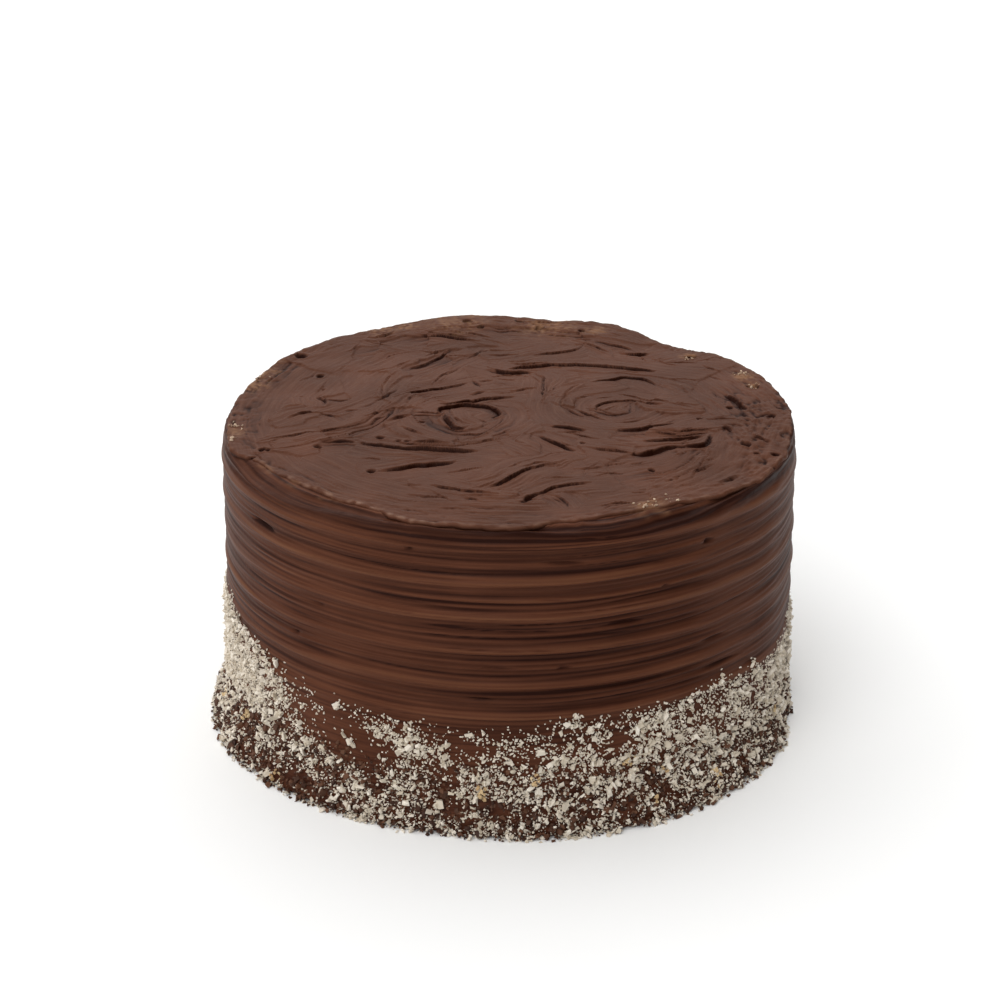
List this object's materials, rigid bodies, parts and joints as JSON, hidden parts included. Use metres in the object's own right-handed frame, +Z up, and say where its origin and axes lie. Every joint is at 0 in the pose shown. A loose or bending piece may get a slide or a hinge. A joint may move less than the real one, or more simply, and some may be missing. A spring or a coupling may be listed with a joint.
{
  "type": "layer cake",
  "caption": "Round chocolate layer cake, uncut, with a knife-swirled top, combed sides and coconut flakes round its lower side.",
  "frame": {"origin": "centre of the flat base", "axes": "+Z up, along the cake's own axis; -Y towards the side that the picture shows"},
  "size_m": [0.2104, 0.2123, 0.1108],
  "materials": {
    "icing": "satin dark chocolate buttercream",
    "coconut": "dry off-white coconut flakes",
    "crumb": "matt dark cake crumbs"
  },
  "bodies": {
    "root": {"cake": "icing"}
  },
  "joints": []
}
